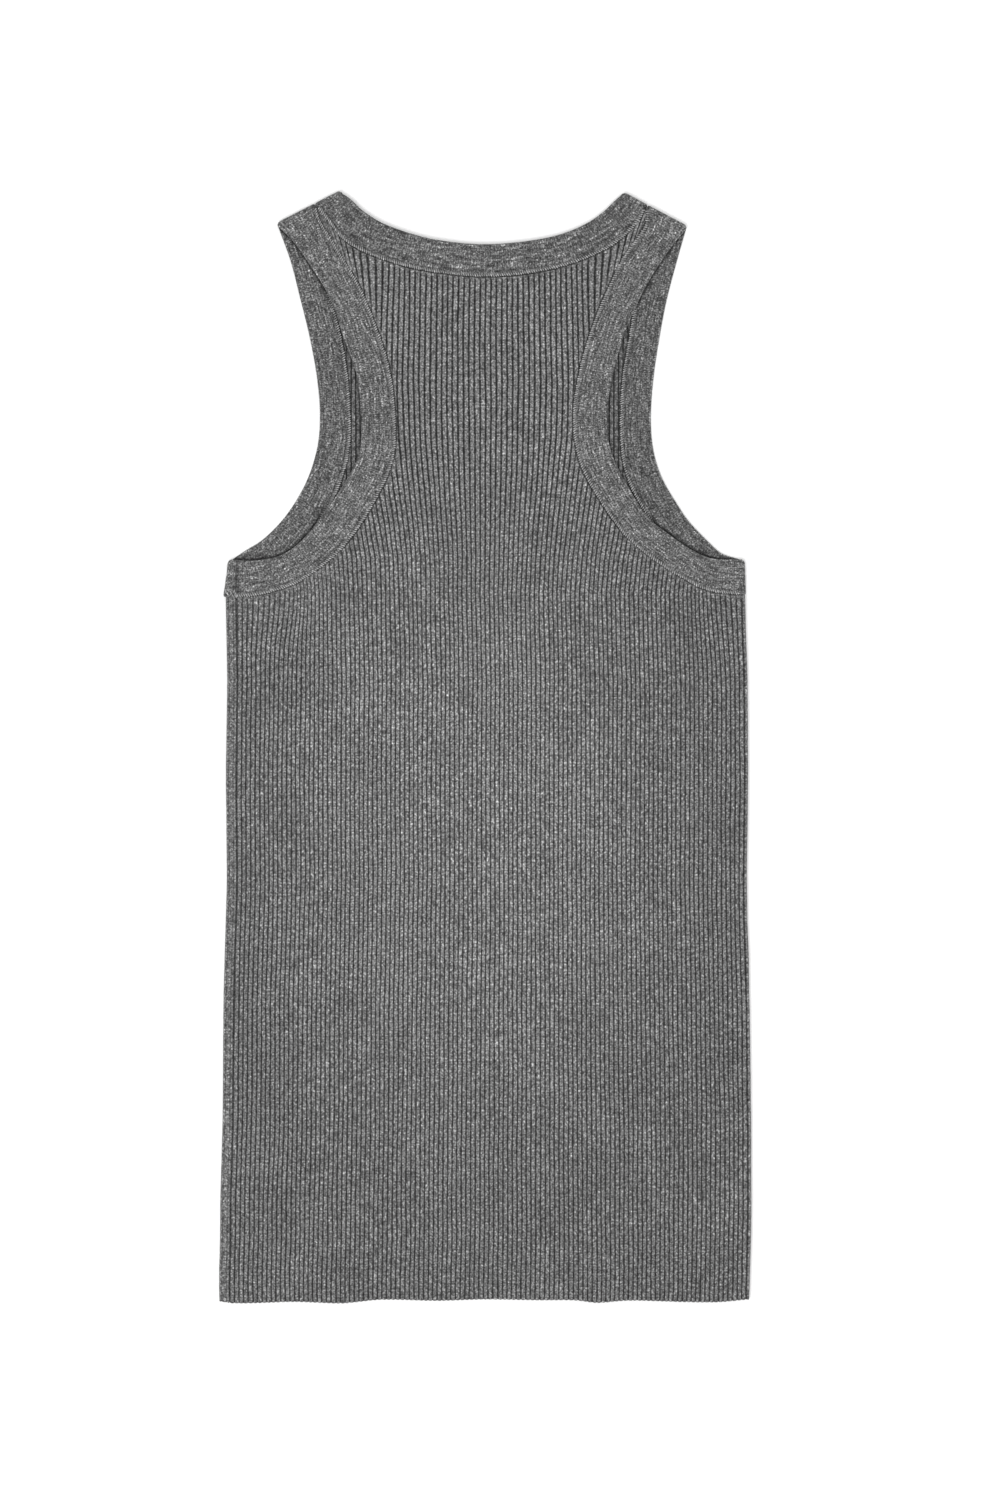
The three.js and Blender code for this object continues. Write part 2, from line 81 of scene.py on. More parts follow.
# The bands between those folds: opening edge x, y, then the seam on the panel x, y.
armbandBackLeft = [
    (-119.8, 314.1, -102.3, 326.6), (-107.4, 296.7, -90.5, 306.9), (-95.6, 276.9, -78.0, 285.5),
    (-88.0, 254.0, -67.4, 260.2), (-79.5, 229.7, -59.4, 234.5), (-77.2, 202.5, -55.7, 203.5),
    (-78.0, 182.6, -57.0, 178.1), (-87.0, 164.0, -67.9, 152.9), (-102.5, 141.4, -86.2, 125.6),
    (-115.5, 126.2, -101.5, 111.3), (-127.3, 118.4, -119.5, 100.2), (-145.0, 115.3, -143.0, 93.6),
]
armbandFrontLeft = [
    (-120.9, 301.7, -102.2, 307.2), (-114.5, 276.9, -96.1, 281.5), (-108.5, 252.1, -89.7, 256.0),
    (-104.2, 227.3, -85.3, 229.8), (-102.6, 207.4, -83.9, 207.6), (-103.5, 190.1, -83.9, 187.8),
    (-106.2, 177.7, -86.8, 172.6), (-110.6, 165.3, -92.3, 157.2), (-117.2, 152.9, -100.2, 142.4),
    (-125.9, 140.5, -110.3, 127.2), (-138.5, 128.1, -125.2, 111.9), (-149.0, 121.5, -141.0, 100.8),
]
armbandBackRight = [
    (116.4, 311.0, 99.2, 323.9), (104.0, 293.0, 85.3, 303.3), (94.1, 274.4, 75.6, 283.2),
    (85.5, 253.5, 66.0, 259.7), (78.3, 226.0, 57.8, 230.6), (75.5, 202.5, 54.4, 203.0),
    (78.0, 183.2, 58.2, 177.0), (89.7, 159.1, 72.0, 150.9), (101.5, 141.7, 88.2, 129.2),
    (114.5, 131.2, 103.2, 116.6), (128.2, 121.9, 117.6, 107.1), (140.6, 116.6, 137.3, 96.9),
]
armbandFrontRight = [
    (119.0, 301.7, 100.2, 306.9), (112.5, 276.9, 94.0, 281.1), (107.8, 252.1, 89.3, 255.2),
    (104.2, 227.3, 85.1, 229.4), (102.7, 205.6, 83.8, 205.8), (103.4, 190.1, 84.0, 188.0),
    (105.7, 177.7, 86.0, 172.8), (110.3, 165.3, 92.2, 156.7), (117.5, 152.9, 100.5, 142.3),
    (125.7, 140.5, 109.7, 127.7), (137.4, 128.1, 122.4, 113.4), (146.5, 120.0, 139.5, 100.2),
]
neckbandBack = [
    (-83.0, 339.0, -96.4, 324.2), (-76.4, 332.7, -88.3, 314.5), (-64.8, 325.2, -74.6, 306.4),
    (-45.0, 317.8, -50.3, 298.0), (-28.9, 314.1, -32.7, 294.4), (-3.0, 311.5, -3.5, 291.5),
    (24.0, 313.2, 26.5, 293.4), (47.1, 317.8, 52.2, 299.0), (64.3, 325.2, 75.1, 308.5),
    (74.5, 332.7, 87.6, 317.5), (80.5, 338.6, 94.9, 325.5),
]
neckbandFrontHalf = [
    (-82.5, 327.0, -100.5, 319.6), (-74.0, 306.0, -91.4, 297.3), (-61.0, 284.0, -76.0, 271.6),
    (-40.0, 265.0, -50.5, 248.6), (-18.0, 256.5, -22.3, 237.5),
]
scoopMiddle = -2.2  # the hidden front neckline is the same on both sides of this line
neckbandFront = (
    neckbandFrontHalf
    + [(scoopMiddle, 255.0, scoopMiddle, 235.5)]
    + [(2 * scoopMiddle - a, b, 2 * scoopMiddle - c, d) for a, b, c, d in reversed(neckbandFrontHalf)]
)

bandWall = 2.2  # a doubled band
upperInside = 2.6  # height of the upper layer's inner face
foldRadius = (upperInside + bandWall) / 2  # how far a turned band reaches out from its fold line
nearReach = 12.0  # the surface's seam and edge values count down to 0 over this distance


def smoothLine(points, steps):  # a smooth line through points, with even steps between each two
    points = np.array(points, float)
    longer = np.vstack([2 * points[0] - points[1], points, 2 * points[-1] - points[-2]])
    line = []
    for i in range(len(points) - 1):
        a, b, c, d = longer[i : i + 4]
        pairs = ((a, b), (b, c), (c, d))
        before, here, after = (max(np.linalg.norm(q - p) ** 0.5, 1e-6) for p, q in pairs)
        tangentB = ((b - a) / before - (c - a) / (before + here) + (c - b) / here) * here
        tangentC = ((c - b) / here - (d - b) / (here + after) + (d - c) / after) * here
        for t in np.linspace(0, 1, steps, endpoint=False):
            line.append(
                b * (2 * t**3 - 3 * t**2 + 1)
                + tangentB * (t**3 - 2 * t**2 + t)
                + c * (3 * t**2 - 2 * t**3)
                + tangentC * (t**3 - t**2)
            )
    return np.array(line + [points[-1]])


def alongTable(table, column, y):
    rows = np.array(table, float)
    return np.interp(y, rows[:, 0], rows[:, column])


def runLength(line):  # how far along a line each of its points is
    return np.append(0, np.cumsum(np.linalg.norm(np.diff(line, axis=0), axis=1)))


def sampled(at, lengths, rows):
    return np.column_stack([np.interp(at, lengths, column) for column in rows.T])


def fade(value, low, high):  # 0 below low, 1 above high, smooth between
    t = np.clip((value - low) / (high - low), 0, 1)
    return t * t * (3 - 2 * t)


def foldLine(edge, seam, out):
    inward = -np.array(out) * foldRadius
    return {"edge": np.array(edge) + inward, "seam": np.array(seam) + inward, "out": np.array(out)}


def shoulderFold(side, corner):
    ends = shoulders[side]
    along = np.array(ends["arm"], float) - ends["neck"]
    along /= np.linalg.norm(along)
    out = np.array([-along[1], along[0]])
    out = out if out[1] > 0 else -out
    step = np.array(ends[corner], float) - ends["meet"]
    step *= 0.12 / np.linalg.norm(step)
    return foldLine(ends[corner], np.array(ends["meet"]) + step, out)


folds = {
    "neckLeft": shoulderFold("left", "neck"),
    "neckRight": shoulderFold("right", "neck"),
    "armLeft": shoulderFold("left", "arm"),
    "armRight": shoulderFold("right", "arm"),
    "sideLeft": foldLine(*underarms["left"], (-1.0, 0.0)),
    "sideRight": foldLine(*underarms["right"], (1.0, 0.0)),
}


def bandLines(start, rows, end):
    start, end = folds[start], folds[end]
    edge = smoothLine([start["edge"]] + [row[:2] for row in rows] + [end["edge"]], 10)
    seam = smoothLine([start["seam"]] + [row[2:] for row in rows] + [end["seam"]], 10)
    return edge, seam


bandPaths = {
    "neck": {"back": neckbandBack, "front": neckbandFront, "ends": ("neckLeft", "neckRight")},
    "armLeft": {"back": armbandBackLeft, "front": armbandFrontLeft, "ends": ("armLeft", "sideLeft")},
    "armRight": {
        "back": armbandBackRight, "front": armbandFrontRight, "ends": ("armRight", "sideRight"),
    },
}
for path in bandPaths.values():
    first, last = path["ends"]
    path["lines"] = {layer: bandLines(first, path[layer], last) for layer in ("back", "front")}


def seamTowardsBand(band, layer, distance):  # the seam line moved onto its band
    edge, seam = bandPaths[band]["lines"][layer]
    along = np.gradient(seam, axis=0)
    off = np.stack([-along[:, 1], along[:, 0]], 1) / np.linalg.norm(along, axis=1)[:, None]
    sign = np.sign(np.sum(off * (edge - seam), 1))[:, None]
    return seam + off * sign * distance


def makeMesh(name, points, faces, cornerUv, attributes):
    mesh = bpy.data.meshes.new(name)
    mesh.from_pydata((np.asarray(points) * mm).tolist(), [], faces)
    if faces:
        mesh.shade_smooth()
        uvLayer = mesh.uv_layers.new(name="knitMap")
        uvLayer.data.foreach_set("uv", np.asarray(cornerUv, np.float32).ravel())
    for label, values in attributes.items():
        values = np.asarray(values, np.float32)
        kind = "FLOAT" if values.ndim == 1 else "FLOAT_VECTOR"
        layer = mesh.attributes.new(label, kind, "POINT")
        layer.data.foreach_set("value" if kind == "FLOAT" else "vector", values.ravel())
    mesh.update()
    piece = bpy.data.objects.new(name, mesh)
    bpy.context.scene.collection.objects.link(piece)
    return piece


def signedVolume(points, faces):
    total = 0.0
    for face in faces:
        corners = points[list(face)]
        for k in range(1, len(face) - 1):
            total += float(np.dot(corners[0], np.cross(corners[k], corners[k + 1])))
    return total / 6


def newTree(name, kind, inputs, outputs):  # an input is given by its default, or by its kind in a word
    tree = bpy.data.node_groups.new(name, kind)
    for label, given in inputs.items():
        word = given if isinstance(given, str) else "Int" if isinstance(given, int) else "Float"
        socket = tree.interface.new_socket(label, in_out="INPUT", socket_type="NodeSocket" + word)
        if word != given:
            socket.default_value = given
    for label, word in outputs.items():
        tree.interface.new_socket(label, in_out="OUTPUT", socket_type="NodeSocket" + word)
    return tree, tree.nodes.new("NodeGroupInput").outputs, tree.nodes.new("NodeGroupOutput").inputs


def feed(tree, socket, value):
    if isinstance(value, bpy.types.NodeSocket):
        tree.links.new(value, socket)
    else:
        socket.default_value = value


def feedAll(tree, node, values):
    for label, value in values.items():
        feed(tree, node.inputs[label], value)
    return node.outputs


def calc(tree, operation, *values):
    node = tree.nodes.new("ShaderNodeMath")
    node.operation = operation
    for socket, value in zip(node.inputs, values):
        feed(tree, socket, value)
    return node.outputs[0]


def product(tree, *values):  # all the values multiplied together
    total = values[0]
    for value in values[1:]:
        total = calc(tree, "MULTIPLY", total, value)
    return total


def swing(tree, value, amount):  # how far a value is from 0.5, times an amount
    return product(tree, calc(tree, "SUBTRACT", value, 0.5), amount)


def fromMiddle(tree, value):  # 0 in the middle of each whole step, 1 at its ends
    return calc(tree, "ABSOLUTE", swing(tree, calc(tree, "FRACT", value), 2.0))


def vectorCalc(tree, operation, *values):
    node = tree.nodes.new("ShaderNodeVectorMath")
    node.operation = operation
    sockets = (node.inputs[0], node.inputs["Scale"]) if operation == "SCALE" else node.inputs
    for socket, value in zip(sockets, values):
        feed(tree, socket, value)
    return node.outputs["Value" if operation == "LENGTH" else "Vector"]


def remap(tree, value, low, high, toLow, toHigh, smooth=False):
    node = tree.nodes.new("ShaderNodeMapRange")
    node.interpolation_type = "SMOOTHSTEP" if smooth else "LINEAR"
    for socket, given in zip(node.inputs, (value, low, high, toLow, toHigh)):
        feed(tree, socket, given)
    return node.outputs[0]


def joinVector(tree, x, y, z):
    node = tree.nodes.new("ShaderNodeCombineXYZ")
    for socket, value in zip(node.inputs, (x, y, z)):
        feed(tree, socket, value)
    return node.outputs[0]


def splitVector(tree, vector):
    node = tree.nodes.new("ShaderNodeSeparateXYZ")
    feed(tree, node.inputs[0], vector)
    return node.outputs


def noise(tree, vector, scale, detail, roughness=0.5):
    node = tree.nodes.new("ShaderNodeTexNoise")
    given = {"Vector": vector, "Scale": scale, "Detail": detail, "Roughness": roughness}
    return feedAll(tree, node, given)[0]


def randomCell(tree, vector):
    node = tree.nodes.new("ShaderNodeTexWhiteNoise")
    feed(tree, node.inputs["Vector"], vector)
    return node.outputs[0]


def namedAttribute(tree, label, kind="FLOAT"):
    node = tree.nodes.new("GeometryNodeInputNamedAttribute")
    node.data_type = kind
    node.inputs["Name"].default_value = label
    return node.outputs[0]


def finishTree(tree, geometry, given, result):
    realize = tree.nodes.new("GeometryNodeRealizeInstances")
    paint = tree.nodes.new("GeometryNodeSetMaterial")
    tree.links.new(geometry, realize.inputs[0])
    feedAll(tree, paint, {"Geometry": realize.outputs[0], "Material": given["Material"]})
    tree.links.new(paint.outputs[0], result["Geometry"])
    return tree


def bakeNodes(piece, tree, values):
    modifier = piece.modifiers.new(tree.name, "NODES")
    modifier.node_group = tree
    for item in tree.interface.items_tree:
        if item.item_type == "SOCKET" and item.in_out == "INPUT" and item.name in values:
            modifier[item.identifier] = values[item.name]
    graph = bpy.context.evaluated_depsgraph_get()
    mesh = bpy.data.meshes.new_from_object(
        piece.evaluated_get(graph), preserve_all_data_layers=True, depsgraph=graph
    )
    piece.modifiers.remove(modifier)
    piece.data = mesh
    mesh.name = piece.name


def buildHeather():  # marl: a light or dark tone for each fleck of fibre
    tree, given, result = newTree("marlFlecks", "ShaderNodeTree", {
        "Vector": "Vector", "Fleck Size": 0.001, "Contrast": 0.5, "Tuft Size": 0.0014,
        "Tuft Contrast": 1.0, "Cloud Size": 0.05, "Cloud Contrast": 0.05,
    }, {"Tone": "Float", "Fibre": "Float"})
    place = given["Vector"]

    def spots(vector, size, detail, roughness=0.5):
        return noise(tree, vector, calc(tree, "DIVIDE", 1.0, given[size]), detail, roughness)

    fine = spots(place, "Fleck Size", 2.5, 0.7)
    tuft = spots(vectorCalc(tree, "ADD", place, (0.31, 0.17, 0.05)), "Tuft Size", 0.0)
    cloud = spots(place, "Cloud Size", 1.0)
    parts = ((fine, "Contrast"), (tuft, "Tuft Contrast"), (cloud, "Cloud Contrast"))
    fineTone, tuftTone, cloudTone = (swing(tree, value, given[label]) for value, label in parts)
    sumTone = calc(tree, "ADD", calc(tree, "ADD", fineTone, tuftTone), cloudTone)
    nep = noise(tree, place, 640.0, 0.0)  # a few bright specks of loose fibre
    nepTone = remap(tree, nep, 0.8, 0.88, 0.0, 0.6)
    feed(tree, result["Tone"], calc(tree, "ADD", calc(tree, "EXPONENT", sumTone), nepTone))
    feed(tree, result["Fibre"], fine)
    return tree


def buildStitches():  # columns of V stitches, one column for each whole step of U
    tree, given, result = newTree(
        "stitchColumns", "ShaderNodeTree", {"Map": "Vector", "Slope": 0.55},
        {"Height": "Float", "Gap": "Float", "Groove": "Float", "Tone": "Float"},
    )
    u, v, _ = splitVector(tree, given["Map"])
    legs = product(tree, u, 2.0)  # the two legs of each V
    across = fromMiddle(tree, u)
    slanted = calc(tree, "ADD", v, product(tree, across, given["Slope"]))

    def arch(value, power):
        wave = calc(tree, "SINE", product(tree, calc(tree, "FRACT", value), math.pi))
        return calc(tree, "POWER", wave, power)

    height = product(tree, arch(slanted, 0.6), arch(legs, 0.5))
    cell = joinVector(tree, calc(tree, "FLOOR", legs), calc(tree, "FLOOR", slanted), 3.7)
    feed(tree, result["Height"], height)
    feed(tree, result["Gap"], calc(tree, "SUBTRACT", 1.0, height))
    feed(tree, result["Groove"], across)
    feed(tree, result["Tone"], randomCell(tree, cell))
    return tree


marlFlecks = buildHeather()
stitchColumns = buildStitches()


def groupNode(tree, group, values):
    node = tree.nodes.new("ShaderNodeGroup")
    node.node_tree = group
    return feedAll(tree, node, values)


def surfaceValue(tree, label):
    node = tree.nodes.new("ShaderNodeAttribute")
    node.attribute_name = label
    return node.outputs["Fac"]


def newMaterial(name):
    material = bpy.data.materials.new(name)
    material.use_nodes = True
    tree = material.node_tree
    return material, tree, tree.nodes.new("ShaderNodeTexCoord").outputs["Object"]


def finishShader(tree, look, tone, height):
    bump = tree.nodes.new("ShaderNodeBump")
    strength, depth = look["bump"]
    feedAll(tree, bump, {"Strength": strength, "Distance": depth, "Height": height})
    feedAll(tree, tree.nodes["Principled BSDF"], {
        "Base Color": vectorCalc(tree, "SCALE", look["color"], tone),
        "Normal": bump.outputs[0],
        "Roughness": look["roughness"],
        "Specular IOR Level": 0.2,
        "Sheen Weight": look["sheen"],
        "Sheen Roughness": look["sheenRoughness"],
    })


def knitMaterial(name, look):
    material, tree, place = newMaterial(name)
    uvNode = tree.nodes.new("ShaderNodeUVMap")
    uvNode.uv_map = "knitMap"
    knitMap = uvNode.outputs[0]
    marl = groupNode(tree, marlFlecks, dict(look["marl"], Vector=place))
    stitches = groupNode(tree, stitchColumns, {"Map": knitMap, "Slope": look["slope"]})
    contrast = look["stitchContrast"]
    stitchTone = calc(tree, "EXPONENT", remap(tree, stitches["Tone"], 0.0, 1.0, -contrast, contrast))
    streak = noise(tree, vectorCalc(tree, "MULTIPLY", knitMap, (0.13, 0.75, 1.0)), 1.0, 1.0)
    streakTone = calc(tree, "EXPONENT", swing(tree, streak, look["streakContrast"]))
    # painted shade: the gaps between the stitch loops are darkened in the colour
    gapShadeTone = remap(tree, stitches["Gap"], 0.0, 1.0, 1.0, 1 - look["gapShade"])

    def soften(value, low, high, toLow, toHigh):
        return remap(tree, value, low, high, toLow, toHigh, smooth=True)

    # painted shade: the rib grooves are darkened in the colour, for the shade that falls into them
    groove = soften(stitches["Groove"], look["grooveFrom"], look["grooveTo"], 0.0, look["grooveShade"])
    broken = remap(tree, stitches["Tone"], 0.0, 1.0, 1.0, 0.78)  # some stitches bridge the groove
    groove = product(tree, groove, surfaceValue(tree, "reliefMask"), broken)
    grooveShadeTone = calc(tree, "SUBTRACT", 1.0, calc(tree, "MINIMUM", groove, 0.95))
    # painted shade: a dark line along each seam, and on the bands a shade under and between the seam
    # stitches
    seamFrom, seamTo = (nearReach - reach for reach in look["seamReach"])
    seamShadeTone = soften(surfaceValue(tree, "seamNear"), seamTo, seamFrom, 1.0, look["seamShadeTone"])
    edgeNear = surfaceValue(tree, "edgeNear")  # a dark line and a soft shade by the upper layer's edge
    edgeTone = soften(edgeNear, nearReach - 2.3, nearReach - 0.7, 1.0, look["edgeTone"])
    shadeTone = soften(edgeNear, nearReach - 9.0, nearReach - 1.0, 1.0, 0.78)
    away = vectorCalc(tree, "MULTIPLY", vectorCalc(tree, "ADD", place, (0.01, 0.04, 0)), (7.0, 4.6, 0))
    away = vectorCalc(tree, "LENGTH", away)  # painted light: the middle of the body is made a little lighter than its sides, as if lit more there
    paintedMiddleLight = soften(away, 0.25, 1.3, 1 + look["paintedMiddleLight"], 0.96)
    height = splitVector(tree, place)[1]  # the racer back is made a little lighter from 130 mm up, fully from 200 mm
    upperTone = soften(height, 0.13, 0.2, 1.0, 1 + look["upperTone"])
    tone = product(
        tree, marl["Tone"], stitchTone, streakTone, gapShadeTone, grooveShadeTone,
        seamShadeTone, edgeTone, shadeTone, paintedMiddleLight, upperTone,
    )
    bumpHeight = calc(tree, "ADD", stitches["Height"], product(tree, marl["Fibre"], 0.8))
    finishShader(tree, look, tone, bumpHeight)
    return material


ribLook = {
    "color": (0.175, 0.175, 0.175),
    "marl": {
        "Fleck Size": 0.00085, "Contrast": 4.5, "Tuft Size": 0.00125, "Tuft Contrast": 2.2,
        "Cloud Size": 0.045, "Cloud Contrast": 0.35,
    },
    "paintedMiddleLight": 0.24,
    "upperTone": 0.15,
    "streakContrast": 0.0,
    "stitchContrast": 0.25,
    "slope": 0.55,
    # painted shade between the stitch loops
    "gapShade": 0.38,
    # painted shade in the rib grooves
    "grooveFrom": 0.4, "grooveTo": 0.84, "grooveShade": 0.9,
    "edgeTone": 0.75,
    "seamReach": (0.5, 1.25),  # painted seam shade: dark up to the first, plain from the second, in millimetres
    "seamShadeTone": 0.2,
    "bump": (0.8, 0.0003),  # strength and depth
    "roughness": 0.95, "sheen": 0.12, "sheenRoughness": 0.6,
}
bandLook = dict(
    ribLook,
    color=(0.13, 0.13, 0.13),
    marl=ribLook["marl"] | {"Contrast": 5.4, "Tuft Contrast": 1.6},
    edgeTone=0.2,
    paintedMiddleLight=0.0,
    upperTone=0.0,
    streakContrast=3.0,  # streaks of lighter and darker yarn that run along a band
    stitchContrast=0.55,
    gapShade=0.35,
    grooveShade=0.3,
    seamReach=(1.2, 4.0),
    seamShadeTone=0.6,
    bump=(0.8, 0.0002),
)
linkLook = {
    "color": (0.215, 0.215, 0.215),
    "marl": {"Fleck Size": 0.0009, "Contrast": 3.0, "Cloud Size": 0.02, "Cloud Contrast": 0.2},
    "bump": (0.6, 0.0001),
    "roughness": 0.95, "sheen": 0.12, "sheenRoughness": 0.5,
}


def linkingMaterial(name, look):  # yarn of the seam stitches, with painted light and shade along each stitch, lighter towards the seam
    material, tree, place = newMaterial(name)
    marl = groupNode(tree, marlFlecks, dict(look["marl"], Vector=place))
    own = remap(tree, surfaceValue(tree, "stitchTone"), 0.0, 1.0, 0.65, 1.35)
    # painted light and shade: each stitch is dark at its band end and light at its seam end
    tip = remap(tree, surfaceValue(tree, "stitchTip"), 0.2, 0.8, 0.55, 1.35)
    finishShader(tree, look, product(tree, marl["Tone"], own, tip), marl["Fibre"])
    return material


frontLook = dict(ribLook, color=(0.168, 0.168, 0.168), paintedMiddleLight=0.0, upperTone=0.0)
armbandLook = dict(bandLook, color=(0.146, 0.146, 0.146))
materials = {
    "back": knitMaterial("greyMarlRibBack", ribLook),
    "front": knitMaterial("greyMarlRibFront", frontLook),
    "neckband": knitMaterial("greyMarlSmoothNeck", bandLook),
    "armbands": knitMaterial("greyMarlSmoothArm", armbandLook),
    "linking": linkingMaterial("greyMarlLinking", linkLook),
}
print("materials made")


def buildRibRelief():  # raised ribs, also used for the fine wales of the bands
    tree, given, result = newTree("ribRelief", "GeometryNodeTree", {
        "Geometry": "Geometry", "Rib Height": 0.0008, "Roundness": 2.6, "Height Variation": 0.3,
        "Wander": 0.0004, "Wander Length": 0.05, "Seed": 4.0, "Material": "Material",
    }, {"Geometry": "Geometry"})
    rib = namedAttribute(tree, "rib")
    mask = namedAttribute(tree, "reliefMask")
    side = namedAttribute(tree, "reliefDirection", "FLOAT_VECTOR")
    hollow = calc(tree, "POWER", fromMiddle(tree, rib), given["Roundness"])
    own = randomCell(tree, joinVector(tree, calc(tree, "FLOOR", rib), given["Seed"], 0.0))
    vary = calc(tree, "ADD", 1.0, swing(tree, own, given["Height Variation"]))
    profile = calc(tree, "SUBTRACT", 1.0, hollow)
    height = product(tree, profile, given["Rib Height"], product(tree, vary, mask))
    x, y, _ = splitVector(tree, tree.nodes.new("GeometryNodeInputPosition").outputs[0])
    run = calc(tree, "DIVIDE", y, given["Wander Length"])
    spot = joinVector(tree, product(tree, x, 90.0), run, given["Seed"])
    sway = product(tree, swing(tree, noise(tree, spot, 1.0, 1.0), given["Wander"]), mask, 2.0)
    rise = vectorCalc(tree, "SCALE", side, height)
    move = tree.nodes.new("GeometryNodeSetPosition")
    feedAll(tree, move, {
        "Geometry": given["Geometry"],
        "Offset": vectorCalc(tree, "ADD", rise, joinVector(tree, sway, 0.0, 0.0)),
    })
    return finishTree(tree, move.outputs[0], given, result)


ribRelief = buildRibRelief()


panelKnit = {
    "ribPitch": 2.86,  # round the turned sides
    "ribSteps": (0.0, 0.11, 0.28, 0.5, 0.72, 0.89),  # points across a rib, its groove first
    "sideRoll": 6.5,
    "sideGap": 0.15,
    "course": 1.74,
    "split": 203.0,  # above this height the neckline and the armholes can cut a rib in two
    "sampleEnds": (-342.0, 345.0), "sampleStep": 0.5,  # where ribs are tested against the seams
    "rowEnds": (-336.0, 338.0), "rowStep": 10.5, "beyond": 400.0,  # the last is past every edge
    "edgeRows": ((1.4, 0.15), (4.0, 0.4)),  # closer rows next to an edge, and the most of a short rib
    "shortest": 0.05,
    "tuck": 1.6,  # how far the panel's edge goes inside its band
    "scallop": 0.4,  # how far a rib stands past its grooves at the hem
}
hemLevel = -343.9
hemSample = np.array([-344.0])
touching = 1e-6  # heights closer than this are one
nowhere = 1e3  # stands for outside in every direction
hemEdge = smoothLine(hemLine, 8)
hemEdge = hemEdge[np.argsort(hemEdge[:, 0])]


def hemAt(x):
    return np.interp(x, hemEdge[:, 0], hemEdge[:, 1])


def liftAt(x, y):
    total = 0.25 * np.sin(x / 31 + 1.3) * np.sin(y / 57 + 0.4) + 0.2 * np.sin(x / 17 + y / 71)
    total = np.where(np.abs(x) < 150, total, total * 0.3)
    for middle, width, height, reach in hemFlutes:
        across = np.exp(-(((x - middle) / width) ** 2))
        total = total + height * across * fade(hemLevel + reach - y, 0, reach)
    return total


def spreadAt(x, y):  # where a rib lies once the racer back is pulled wider
    wide = x * alongTable(ribSpread, 1, y)
    foot = strapLean["footY"] + (np.abs(wide) - strapLean["footX"]) * strapLean["rise"]
    lean = strapLean["slope"] * fade(np.abs(wide), strapLean["from"], strapLean["full"])
    wide = wide + np.sign(wide) * lean * np.clip(y - foot, 0, None)
    for middle, level, width, height, push in ribDrift:
        wide = wide + push * np.exp(-(((wide - middle) / width) ** 2) - ((y - level) / height) ** 2)
    return wide


def boundsOf(layer):  # the side seams of the armholes by height, and the neck seam by place
    bands = ("armLeft", "armRight", "neck")
    left, right, neck = (seamTowardsBand(band, layer, panelKnit["tuck"]) for band in bands)
    left, right = left[np.argsort(left[:, 1])], right[np.argsort(right[:, 1])]
    neck = neck[np.argsort(neck[:, 0])]
    far = 10 * nowhere

    def inside(x, y):  # above 0 inside the panel
        leftAt = np.interp(y, left[:, 1], left[:, 0], left=-far, right=far)
        rightAt = np.interp(y, right[:, 1], right[:, 0], left=far, right=-far)
        neckAt = np.interp(x, neck[:, 0], neck[:, 1], left=far, right=far)
        return np.minimum(np.minimum(x - leftAt, rightAt - x), neckAt - y)

    return inside


def crossing(ys, value, k):  # the height between two samples where the panel ends
    a, b = value[k], value[k + 1]
    if abs(a) > nowhere or abs(b) > nowhere:
        return ys[k] if a > 0 else ys[k + 1]
    return ys[k] + (ys[k + 1] - ys[k]) * a / (a - b)


def lineDistance(x, y, lines):
    nearest = np.full(x.shape, nowhere)
    for line in lines:
        for a, b in zip(line[:-1], line[1:]):
            along = b - a
            share = ((x - a[0]) * along[0] + (y - a[1]) * along[1]) / max(along @ along, 1e-9)
            share = np.clip(share, 0, 1)
            away = np.hypot(x - a[0] - share * along[0], y - a[1] - share * along[1])
            nearest = np.minimum(nearest, away)
    return nearest


def nearUpperEdge(x, y):  # high close to the upper layer's armhole edges, which shade what lies below
    edges = [bandPaths[band]["lines"]["back"][0] for band in ("armLeft", "armRight")]
    least = nearReach * np.where(x > 0, 0.75, 0.6)
    near = nearReach - lineDistance(x, y, edges)
    near = near - 0.4 * fade(y, 190, 250)  # the layers lie closer on the straps
    return np.clip(near, least, nearReach)


def panelSpans(columns, place, inside):  # each column's ends, below the split and above it
    split, step = panelKnit["split"], panelKnit["sampleStep"]
    lowest, highest = panelKnit["sampleEnds"]
    lowYs, highYs = np.arange(lowest, split + step / 2, step), np.arange(split, highest, step)
    spans = []
    for j in range(len(columns["rib"])):
        one = {key: values[j] for key, values in columns.items()}
        value = inside(place(one, lowYs)[0], lowYs)
        outside = np.flatnonzero(value <= 0)
        lowTop = crossing(lowYs, value, outside[0] - 1) if len(outside) else split
        ridge = 1 - (2 * abs(one["rib"] % 1 - 0.5)) ** 2
        bottom = hemAt(place(one, hemSample)[0][0]) + panelKnit["scallop"] * (0.5 - ridge)
        value = inside(place(one, highYs)[0], highYs)
        within = np.flatnonzero(value > 0)
        highBottom = highTop = np.nan
        if len(within) > 1 and one["flat"]:
            run = max(np.split(within, np.flatnonzero(np.diff(within) > 1) + 1), key=len)
            first, last = run[0], run[-1]
            highBottom = highYs[0] if first == 0 else crossing(highYs, value, first - 1)
            highTop = highYs[-1] if last == len(highYs) - 1 else crossing(highYs, value, last)
        spans.append((bottom, lowTop, highBottom, highTop))
    return np.array(spans).T


